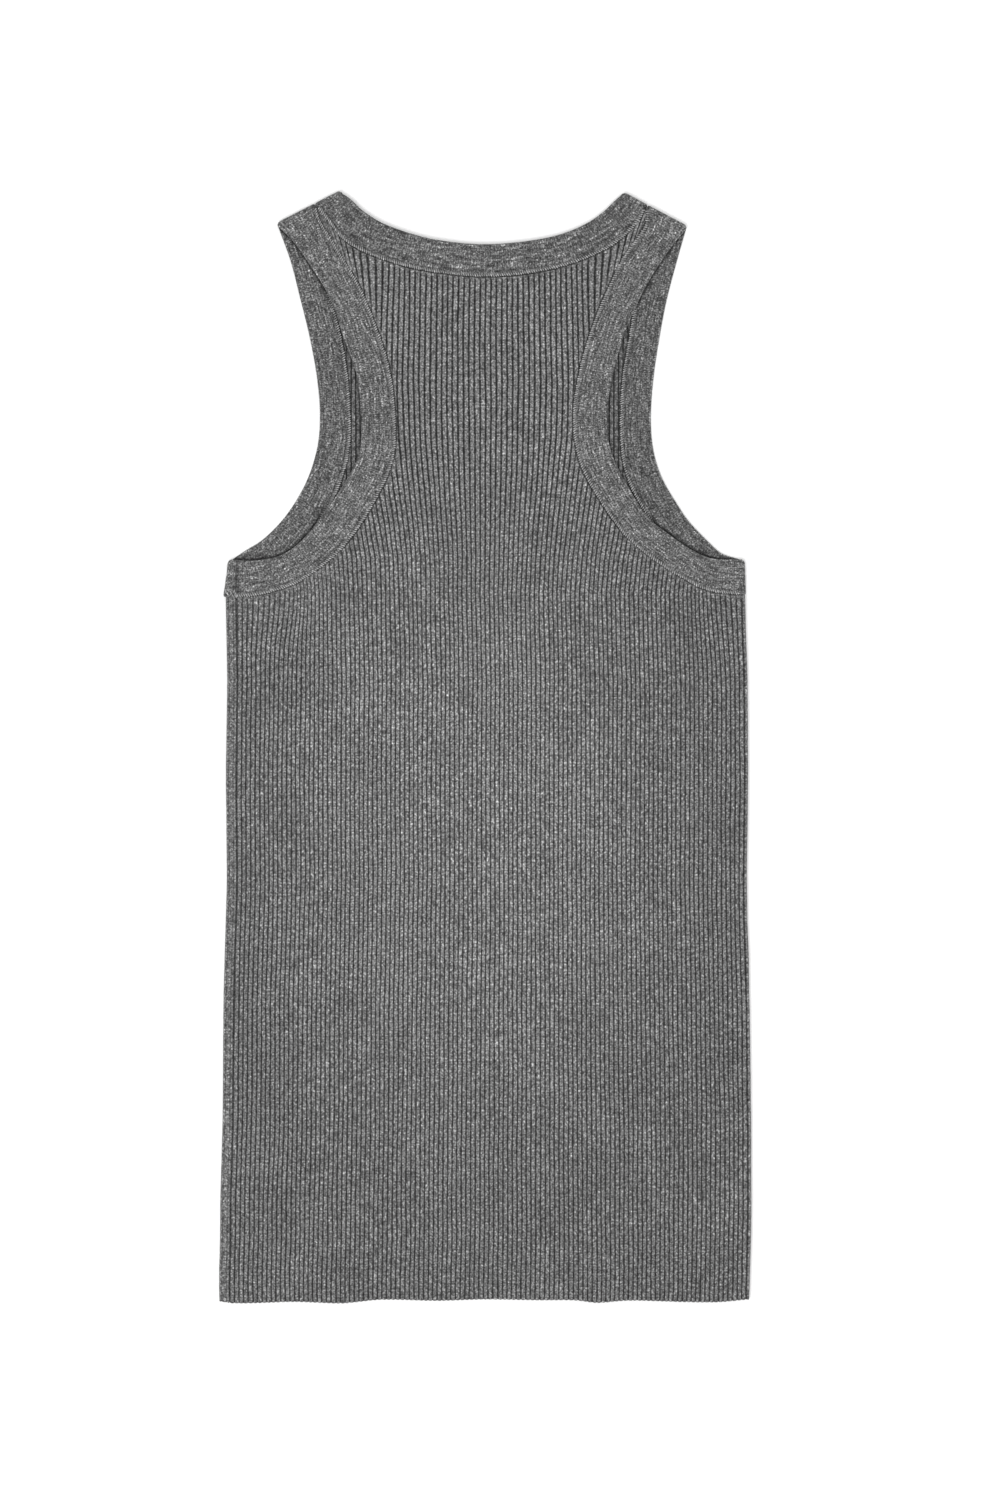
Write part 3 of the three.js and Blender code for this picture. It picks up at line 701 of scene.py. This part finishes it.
def layRows(low, high, levels, spots, shared):  # a grid of point numbers, with their places in spots
    split = panelKnit["split"]
    grid = np.full((len(low), len(levels) + 4), -1)
    for j in range(len(low)):
        length = high[j] - low[j]
        if np.isnan(low[j]) or length < panelKnit["shortest"]:
            continue
        thin, wide = (min(row, length * share) for row, share in panelKnit["edgeRows"])
        atLow, atHigh = (0 if abs(end[j] - split) < touching else 1 for end in (low, high))
        rows = [low[j], low[j] + thin * atLow]
        rows += [min(max(level, low[j] + wide * atLow), high[j] - wide * atHigh) for level in levels]
        rows += [high[j] - thin * atHigh, high[j]]
        previous = None
        for i, y in enumerate(rows):
            if previous is not None and abs(y - previous) < touching:
                grid[j, i] = grid[j, i - 1]
                continue
            if previous is None and abs(y - split) < touching and shared[j] >= 0:
                grid[j, i] = shared[j]
            else:
                grid[j, i] = len(spots)
                spots.append((j, y))
            previous = y
    return grid


def gridFaces(grid):
    faces = []
    for j in range(len(grid) - 1):
        for i in range(grid.shape[1] - 1):
            ring = [grid[j, i], grid[j + 1, i], grid[j + 1, i + 1], grid[j, i + 1]]
            if min(ring) < 0:
                continue
            ring = [ring[k] for k in range(4) if ring[k] != ring[k - 1]]
            if len(set(ring)) >= 3:
                faces.append(tuple(ring))
    return faces


def closedShell(outer, inner, faces):  # the outer face, the inner face and the walls between their rims
    total = len(outer)
    edges = dict.fromkeys((a, b) for face in faces for a, b in zip(face, face[1:] + face[:1]))
    innerFaces = [tuple(v + total for v in reversed(face)) for face in faces]
    walls = [(b, a, a + total, b + total) for a, b in edges if (b, a) not in edges]
    points, allFaces = np.vstack([outer, inner]), faces + innerFaces + walls
    if signedVolume(points, allFaces) < 0:
        allFaces = [tuple(reversed(face)) for face in allFaces]
    return points, allFaces


def panelShell(name, layer, columns, place, shape, reliefAt):
    # columns has a value for each column of points, place(columns, y) gives x, z and the outward side
    inside = boundsOf(layer)
    bottoms, lowTop, highBottom, highTop = panelSpans(columns, place, inside)
    split, step = panelKnit["split"], panelKnit["rowStep"]
    lowest, highest = panelKnit["rowEnds"]
    lowLevels = np.linspace(lowest, split, round((split - lowest) / step))
    highLevels = np.linspace(split, highest, round((highest - split) / step))
    spots, none = [], np.full(len(bottoms), -1)
    lowGrid = layRows(bottoms, lowTop, np.append(-panelKnit["beyond"], lowLevels), spots, none)
    joined = np.where(np.abs(lowTop - split) < touching, lowGrid[:, -1], -1)
    highGrid = layRows(highBottom, highTop, np.append(highLevels, panelKnit["beyond"]), spots, joined)
    columnOf, heightOf = np.array([j for j, _ in spots]), np.array([y for _, y in spots])
    chosen = {key: values[columnOf] for key, values in columns.items()}
    x, z, side = place(chosen, heightOf)
    distance = lineDistance(x, heightOf, [path["lines"][layer][1] for path in bandPaths.values()])
    distance = np.where(inside(x, heightOf) < panelKnit["tuck"] - 0.05, -distance, distance)
    atShoulder = fade(np.abs(x), 78, 92) * fade(heightOf, 295, 315)
    distance = distance * (1 + 1.6 * atShoulder)  # finer seams there
    mask = reliefAt(x, heightOf, distance) * chosen["ribbed"]
    sink = 0.35 * (1 - fade(distance, 0.3, 2.5))
    outer = np.stack([x, heightOf, z], 1) - side * sink[:, None]
    inner = outer - side * shape["wall"]
    points, faces = closedShell(outer, inner, gridFaces(lowGrid) + gridFaces(highGrid))
    rib = np.tile(chosen["rib"], 2)
    uvOf = np.stack([rib, np.tile(heightOf, 2) / panelKnit["course"]], 1)
    shaded = nearUpperEdge(x, heightOf) if layer == "front" else x * 0
    attributes = {
        "rib": rib,
        "reliefMask": np.concatenate([mask, mask * shape["innerRelief"]]),
        "reliefDirection": np.vstack([side, -side]),
        # seamNear carries the painted shade line along the seams
        "seamNear": np.tile(nearReach - np.minimum(distance, nearReach), 2),
        "edgeNear": np.concatenate([x * 0, shaded]),
    }
    return makeMesh(name, points, faces, uvOf[[v for face in faces for v in face]], attributes)


def ribRow(count):
    return np.array([k + step for k in range(count) for step in panelKnit["ribSteps"]] + [count])


def panelColumns(runs):  # each run of columns is given by its share, turn, strip and rib
    runs = [np.broadcast_arrays(*run) for run in runs]
    keys = ("share", "turn", "strip", "rib")
    return {key: np.concatenate([run[k] for run in runs]).astype(float) for k, key in enumerate(keys)}


def turnedSide(shape, turn, x):  # height and outward side of a face that turns round a panel's side
    middle, radius = (shape["top"] + shape["bottom"]) / 2, (shape["top"] - shape["bottom"]) / 2
    side = np.stack([shape["facing"] * np.sin(turn) + x * 0, x * 0, np.cos(turn) + x * 0], -1)
    return middle + radius * np.cos(turn) + x * 0, side


backShape = {
    "ribCount": 112, "top": 4.0, "bottom": 0.5, "wall": 1.15, "ribHeight": 0.0008, "innerRelief": 0.4,
    "facing": 1, "turnSteps": 12, "strip": 3.75, "stripSteps": 8,  # its right side turns under
}
backRadius = (backShape["top"] - backShape["bottom"]) / 2
ribs = ribRow(backShape["ribCount"])
turns = np.linspace(0, math.pi, backShape["turnSteps"] + 1)[1:]
strip = np.linspace(0, backShape["strip"], backShape["stripSteps"] + 1)[1:]
backColumns = panelColumns([
    (ribs / ribs[-1], 0, 0, ribs),
    (1, turns, 0, ribs[-1] + turns * backRadius / panelKnit["ribPitch"]),
    (1, math.pi, strip, ribs[-1] + (math.pi * backRadius + strip) / panelKnit["ribPitch"]),
])
backColumns["flat"] = backColumns["turn"] == 0
backColumns["ribbed"] = np.where(backColumns["turn"] > 1.2, 0.55, 1.0)


def backPlace(column, y):
    start = alongTable(bodySections, 1, y) + panelKnit["sideRoll"] + panelKnit["sideGap"]
    turnX = alongTable(bodySections, 2, y) - backRadius - 0.6
    x = start + (turnX - start) * column["share"] + backRadius * np.sin(column["turn"]) - column["strip"]
    x = spreadAt(x, y)
    z, side = turnedSide(backShape, column["turn"], x)
    return x, z + np.where(column["turn"] == 0, liftAt(x, y), 0), side


def backRelief(x, y, distance):  # the ribs rise soon past the seams, and late under the armholes
    late = fade(-x, 60, 120) * fade(y, 20, 80) * 24 + fade(x, 100, 130) * fade(y, 60, 80) * 6
    lower = 0.2 * fade(late, 0, 24) * (1 - fade(distance, 4, 5 + late))
    stretched = 1 + 0.1 * fade(y, 110, 200)  # the grooves open where the racer back is pulled wider
    return stretched * fade(distance, 0.1, 1.2) * (1 - lower)


backPanel = panelShell("backPanel", "back", backColumns, backPlace, backShape, backRelief)
bakeNodes(backPanel, ribRelief, {
    "Rib Height": backShape["ribHeight"], "Roundness": 2.6, "Height Variation": 0.35,
    "Wander": 0.0007, "Wander Length": 0.045, "Seed": 4.0, "Material": materials["back"],
})

frontShape = {
    "ribCount": 109, "top": 4.3, "bottom": 0.42, "wall": 1.0, "ribHeight": 0.00042, "innerRelief": 1.1,
    "facing": -1, "turnSteps": 12, "strip": 4.0, "stripSteps": 6,  # its left side turns up onto the back
}
frontRadius = (frontShape["top"] - frontShape["bottom"]) / 2
ribs = ribRow(frontShape["ribCount"])
turns = np.linspace(0, math.pi, frontShape["turnSteps"] + 1)[:-1]
strip = np.linspace(frontShape["strip"], 0, frontShape["stripSteps"] + 1)[:-1]
frontColumns = panelColumns([
    (0, 0, strip, -(strip + math.pi * frontRadius) / panelKnit["ribPitch"]),
    (0, turns, 0, -(math.pi - turns) * frontRadius / panelKnit["ribPitch"]),
    (ribs / ribs[-1], math.pi, 0, ribs),
])
frontColumns["flat"] = frontColumns["turn"] == math.pi
frontColumns["ribbed"] = np.where(frontColumns["flat"], 1.0, 0.45)


def frontPlace(column, y):
    turnX = alongTable(bodySections, 1, y) + frontRadius
    end = alongTable(bodySections, 2, y) - panelKnit["sideRoll"] - panelKnit["sideGap"]
    x = turnX + column["strip"] - frontRadius * np.sin(column["turn"]) + (end - turnX) * column["share"]
    return (x, *turnedSide(frontShape, column["turn"], x))


def frontRelief(x, y, distance):
    return fade(distance, 0.1, 1.2)


frontPanel = panelShell("frontPanel", "front", frontColumns, frontPlace, frontShape, frontRelief)
bakeNodes(frontPanel, ribRelief, {
    "Rib Height": frontShape["ribHeight"], "Roundness": 2.6, "Height Variation": 0.3,
    "Wander": 0.0004, "Wander Length": 0.05, "Seed": 9.0, "Material": materials["front"],
})
print("panels knitted")

bandKnit = {
    "wale": 1.4, "sectionsPerWale": 4, "course": 1.15, "crown": 0.18, "waleHeight": 0.00012,
    "cornerRound": 1.2, "turnStep": 1.9,
}
bandJoins = {"armLeft": {"x": -154.2, "bulge": 0.8}}  # where a band's ends are joined on the upper layer


def ringPath(band):  # edge, seam, turn and fold direction all round a band, by length
    path = bandPaths[band]
    start, end = (folds[fold] for fold in path["ends"])
    backEdge, backSeam = path["lines"]["back"]
    frontEdge, frontSeam = (line[::-1] for line in path["lines"]["front"])
    turns = np.linspace(0, math.pi, 11)[1:-1]

    def stack(edge, seam, turn, out):
        rows = len(edge)
        return np.column_stack([edge, seam, np.zeros(rows) + turn, np.tile(out, (rows, 1))])

    def turned(fold, steps):
        rows = (len(steps), 1)
        return stack(np.tile(fold["edge"], rows), np.tile(fold["seam"], rows), steps, fold["out"])

    half = len(backEdge) // 2
    rows = np.vstack([
        stack(backEdge[:half], backSeam[:half], 0.0, start["out"]),
        stack(backEdge[half:], backSeam[half:], 0.0, end["out"]),
        turned(end, turns),
        stack(frontEdge[:half], frontSeam[:half], math.pi, end["out"]),
        stack(frontEdge[half:], frontSeam[half:], math.pi, start["out"]),
        turned(start, turns[::-1]),
    ])
    rows = np.vstack([rows, rows[:1]])
    middle = (rows[:, 0:2] + rows[:, 2:4]) / 2
    step = np.linalg.norm(np.diff(middle, axis=0), axis=1)
    step = step + np.abs(np.diff(rows[:, 4])) * bandKnit["turnStep"]
    return np.append(0, np.cumsum(step)), rows


def bandProfile():  # share of the width, extra run, share of half the wall, extra lift
    crown = bandKnit["crown"]
    seamSide = [(1, 0, 0, 0), (1, -0.3, 0.7, 0), (1, -1.1, 1, -0.15), (1, -3.0, 1, -0.05)]
    top = [(0.7, 0, 1, 0), (0.5, 0, 1, crown * 0.6), (0.3, 0, 1, crown), (0.12, 0, 1, crown * 0.6)]
    fold = [(0, 1.2, 1, 0), (0, 0.5, 0.8, 0), (0, 0.1, 0.4, 0), (0, 0, 0, 0)]
    fold += [(0, 0.1, -0.4, 0), (0, 0.5, -0.8, 0), (0, 1.2, -1, 0)]
    under = [(share, 0, -1, 0) for share in np.linspace(0.14, 0.86, 8)]
    return seamSide + top + fold + under + [(1, -1.1, -1, 0), (1, -0.3, -0.7, 0)]


def bandPiece(name, band, material, seed):
    lengths, rows = ringPath(band)
    waleCount = round(lengths[-1] / bandKnit["wale"])
    perWale = bandKnit["sectionsPerWale"]
    sectionCount = waleCount * perWale
    at = np.arange(sectionCount) / sectionCount * lengths[-1]
    ring = sampled(at, lengths, rows)
    edge, seam, turn, out = ring[:, 0:2], ring[:, 2:4], ring[:, 4], ring[:, 5:7]
    up = np.column_stack([out * np.sin(turn)[:, None], np.cos(turn)])
    across = seam - edge
    width = np.linalg.norm(across, axis=1)
    across = np.column_stack([across / width[:, None], at * 0])
    base = np.column_stack([edge, at * 0]) + up * upperInside / 2
    base[:, 2] += foldRadius
    flat = (np.abs(np.sin(turn)) < 0.01) & (np.cos(turn) > 0)
    ripple = 0.1 * np.sin(at / 13 + seed) + 0.07 * np.sin(at / 5.3 + 2 * seed)
    joinGap = at * 0 + nearReach
    bulge = at * 0
    if band in bandJoins:
        middleX = np.where(flat, (edge[:, 0] + seam[:, 0]) / 2, nowhere)
        joinGap = np.abs(at - at[np.argmin(np.abs(middleX - bandJoins[band]["x"]))])
        bulge = np.where(out[:, 0] < -0.9, bandJoins[band]["bulge"], 0) * np.sin(turn)
        ripple = ripple - 0.45 * np.exp(-((joinGap / 0.7) ** 2))
        ripple = ripple + 0.25 * np.exp(-(((joinGap - 2.2) / 1.3) ** 2))
    profile = bandProfile()
    rings, near = [], []
    for share, run, level, extra in profile:
        along = width * share + run + (1 - share) * bandKnit["cornerRound"] * np.sin(turn) ** 4
        lift = bandWall / 2 * level + np.where(flat, extra + (ripple if level == 1 else 0), 0)
        swell = np.column_stack([out * (bulge * max(share - 0.3, 0) / 0.7)[:, None], at * 0])
        rings.append(base + across * along[:, None] + up * lift[:, None] + swell)
        # seamNear carries the painted shade by the seam and by the join
        near.append(nearReach - np.minimum(np.minimum(width - along, joinGap + 1.2), nearReach))
    points = np.stack(rings, 1)
    facesUp = np.array([row[2] < 0 for row in profile])  # where the band lies turned over
    lower = np.where(np.cos(turn) < -0.5, 1.0, 0.0)[:, None] * facesUp
    sideways = np.roll(points, -1, 1) - np.roll(points, 1, 1)
    forward = np.roll(points, -1, 0) - np.roll(points, 1, 0)
    normal = np.cross(sideways, forward)
    normal /= np.maximum(np.linalg.norm(normal, axis=2), 1e-9)[:, :, None]
    outwards = np.sign(np.sum(normal * (points - points.mean(1, keepdims=True)), 2))[:, :, None]
    girth = runLength(np.vstack([points[0], points[0][:1]])) / bandKnit["course"]
    count = len(profile)
    faces, corners = [], []
    for i in range(sectionCount):
        here, after = i * count, (i + 1) % sectionCount * count
        u0, u1 = i / perWale, (i + 1) / perWale
        for j in range(count):
            k = (j + 1) % count
            faces.append((here + j, after + j, after + k, here + k))
            corners.append([(u0, girth[j]), (u1, girth[j]), (u1, girth[j + 1]), (u0, girth[j + 1])])
    flatPoints = points.reshape(-1, 3)
    if signedVolume(flatPoints, faces) < 0:
        faces = [tuple(reversed(face)) for face in faces]
        corners = [corner[::-1] for corner in corners]
    mask = np.tile([1.0 if abs(row[2]) == 1 else 0.5 for row in profile], sectionCount)
    mask = mask * np.where(flatPoints[:, 2] < 0.3, 0.0, 1.0)  # plain where it rests
    attributes = {
        "rib": np.repeat(np.arange(sectionCount) / perWale, count),
        "reliefMask": mask,
        "reliefDirection": (normal * outwards).reshape(-1, 3),
        "seamNear": np.stack(near, 1).ravel(),
        "edgeNear": (nearUpperEdge(points[:, :, 0], points[:, :, 1]) * lower).ravel(),
    }
    piece = makeMesh(name, flatPoints, faces, np.array(corners).reshape(-1, 2), attributes)
    bakeNodes(piece, ribRelief, {
        "Rib Height": bandKnit["waleHeight"], "Roundness": 2.0, "Height Variation": 0.6,
        "Wander": 0.0, "Wander Length": 0.05, "Seed": float(seed), "Material": material,
    })
    print(name, "ring length", round(float(lengths[-1]), 1), "mm,", waleCount, "wales")
    return piece


neckBand = bandPiece("neckBand", "neck", materials["neckband"], 1)
leftArmBand = bandPiece("leftArmBand", "armLeft", materials["armbands"], 2)
rightArmBand = bandPiece("rightArmBand", "armRight", materials["armbands"], 3)
print("bands knitted")


def storeValue(tree, geometry, label, domain, value):
    node = tree.nodes.new("GeometryNodeStoreNamedAttribute")
    node.data_type, node.domain = "FLOAT", domain
    feedAll(tree, node, {"Geometry": geometry, "Name": label})
    feed(tree, [socket for socket in node.inputs if socket.name == "Value" and socket.enabled][0], value)
    return node.outputs[0]


def buildLinking():  # the stitches that join each band to its panels
    tree, given, result = newTree("linkingStitches", "GeometryNodeTree", {
        "Geometry": "Geometry", "Stitch Length": 0.0052, "Stitch Width": 0.0011,
        "Stitch Height": 0.0008, "Unevenness": 0.35, "Seed": 5, "Material": "Material",
    }, {"Geometry": "Geometry"})
    loop = tree.nodes.new("GeometryNodeMeshUVSphere")
    feedAll(tree, loop, {"Radius": 0.5, "Segments": 8, "Rings": 4})
    smooth = tree.nodes.new("GeometryNodeSetShadeSmooth")
    tree.links.new(loop.outputs[0], smooth.inputs[0])
    position = tree.nodes.new("GeometryNodeInputPosition").outputs[0]
    tip = calc(tree, "ADD", splitVector(tree, position)[0], 0.5)
    turn = tree.nodes.new("FunctionNodeAxesToRotation")
    turn.primary_axis, turn.secondary_axis = "X", "Z"
    tree.links.new(namedAttribute(tree, "across", "FLOAT_VECTOR"), turn.inputs["Primary Axis"])
    turn.inputs["Secondary Axis"].default_value = (0, 0, 1)
    chance = tree.nodes.new("FunctionNodeRandomValue")
    chance.data_type = "FLOAT"
    tree.links.new(given["Seed"], chance.inputs["Seed"])
    least, most = [socket for socket in chance.inputs if socket.type == "VALUE" and socket.enabled][:2]
    feed(tree, least, calc(tree, "SUBTRACT", 1.0, given["Unevenness"]))
    feed(tree, most, 1.0)
    amount = [socket for socket in chance.outputs if socket.enabled][0]
    length = product(tree, given["Stitch Length"], amount)
    place = tree.nodes.new("GeometryNodeInstanceOnPoints")
    feedAll(tree, place, {
        "Points": given["Geometry"],
        "Instance": storeValue(tree, smooth.outputs[0], "stitchTip", "POINT", tip),
        "Rotation": turn.outputs[0],
        "Scale": joinVector(tree, length, given["Stitch Width"], given["Stitch Height"]),
    })
    toned = storeValue(tree, place.outputs[0], "stitchTone", "INSTANCE", amount)
    return finishTree(tree, toned, given, result)


linkingStitches = buildLinking()
linking = {
    "pitch": 1.42, "from": 1.5, "inset": 1.1, "slant": 0.5, "sunk": 0.15,
    "backHeight": 4.8, "frontHeight": 2.2,
}
# Loose loops where the seams come together under the left arm: x, y, lean.
looseLoops = [(-154.0 - 0.85 * k, 95.0 + 1.3 * (k % 3 - 1), 0.9 * (k % 2) - 0.4) for k in range(9)]
seamEnds = {"armLeft": looseLoops}


def linkingPiece(name, band, seed):
    points, acrossAll = [], []
    for layer, height in (("back", linking["backHeight"]), ("front", linking["frontHeight"])):
        edge, seam = bandPaths[band]["lines"][layer]
        lengths = runLength(seam)
        at = np.arange(linking["from"], lengths[-1] - linking["from"], linking["pitch"])
        spot = sampled(at, lengths, seam)
        across = spot - sampled(at, lengths, edge)
        across /= np.linalg.norm(across, axis=1)[:, None]
        along = np.stack([-across[:, 1], across[:, 0]], 1)
        spot = spot - across * linking["inset"]
        points.append(np.column_stack([spot, at * 0 + height - linking["sunk"]]))
        acrossAll.append(np.column_stack([across + along * linking["slant"], at * 0]))
    for x, y, lean in seamEnds.get(band, ()):
        points.append([(x, y, linking["backHeight"] - 0.1)])
        acrossAll.append([(lean, -1, 0)])
    points = np.vstack(points)
    piece = makeMesh(name, points, [], None, {"across": np.vstack(acrossAll)})
    bakeNodes(piece, linkingStitches, {
        "Stitch Length": 0.0038, "Stitch Width": 0.0009, "Stitch Height": 0.0011,
        "Unevenness": 0.4, "Seed": seed, "Material": materials["linking"],
    })
    print(name, len(points), "stitches")
    return piece


neckLinking = linkingPiece("neckLinking", "neck", 5)
leftArmLinking = linkingPiece("leftArmLinking", "armLeft", 6)
rightArmLinking = linkingPiece("rightArmLinking", "armRight", 7)
print("bands linked on")

pieces = {  # the solid that each piece stands for, its slot, and its own stitches
    "back": (backPanel, "rib_back", None),
    "front": (frontPanel, "rib_front", None),
    "neckband": (neckBand, "band_neck", neckLinking),
    "armband_left": (leftArmBand, "band_arm_left", leftArmLinking),
    "armband_right": (rightArmBand, "band_arm_right", rightArmLinking),
}
for node, (piece, slot, stitches) in pieces.items():
    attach(piece, "root")
    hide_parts(node)
    if stitches:
        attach(stitches, "root")

studio = {
    "floorTone": 0.97, "floorDrop": 0.0004,
    "worldStrength": 0.75, "keyPower": 14.0, "fillPower": 7.0, "lightSize": 1.0,
    "lens": 93.0, "sensor": 36.0, "aim": (0.00915, -0.0015, 0.004), "frameHeight": 0.9288,
}
bpy.ops.mesh.primitive_plane_add(size=8, location=(0, 0, -studio["floorDrop"]))
floor = bpy.context.object
floor.name = "floor"
floorPaint = bpy.data.materials.new("paleFloor")
floorPaint.use_nodes = True
floorShader = floorPaint.node_tree.nodes["Principled BSDF"]
floorShader.inputs["Base Color"].default_value = (studio["floorTone"],) * 3 + (1,)
floorShader.inputs["Roughness"].default_value = 0.9
floor.data.materials.append(floorPaint)

world = bpy.context.scene.world or bpy.data.worlds.new("studio")
bpy.context.scene.world = world
world.use_nodes = True
background = world.node_tree.nodes["Background"]
background.inputs["Color"].default_value = (1, 1, 1, 1)
background.inputs["Strength"].default_value = studio["worldStrength"]


def softLight(name, place, power):
    light = bpy.data.lights.new(name, "AREA")
    light.shape, light.size, light.energy = "DISK", studio["lightSize"], power
    lamp = bpy.data.objects.new(name, light)
    lamp.location = place
    x, y, z = place
    lamp.rotation_euler = (math.atan2(math.hypot(x, y), z), 0, math.atan2(-x, y) + math.pi)
    bpy.context.scene.collection.objects.link(lamp)


softLight("keyLight", (-0.35, -0.45, 1.5), studio["keyPower"])
softLight("fillLight", (0.6, 0.5, 1.8), studio["fillPower"])

camera = bpy.data.objects.new("camera", bpy.data.cameras.new("camera"))
camera.data.lens = studio["lens"]
camera.data.sensor_width = studio["sensor"]
aimX, aimY, aimZ = studio["aim"]
camera.location = (aimX, aimY, aimZ + studio["lens"] / studio["sensor"] * studio["frameHeight"])
bpy.context.scene.collection.objects.link(camera)
bpy.context.scene.camera = camera
bpy.context.scene.view_settings.view_transform = "Standard"
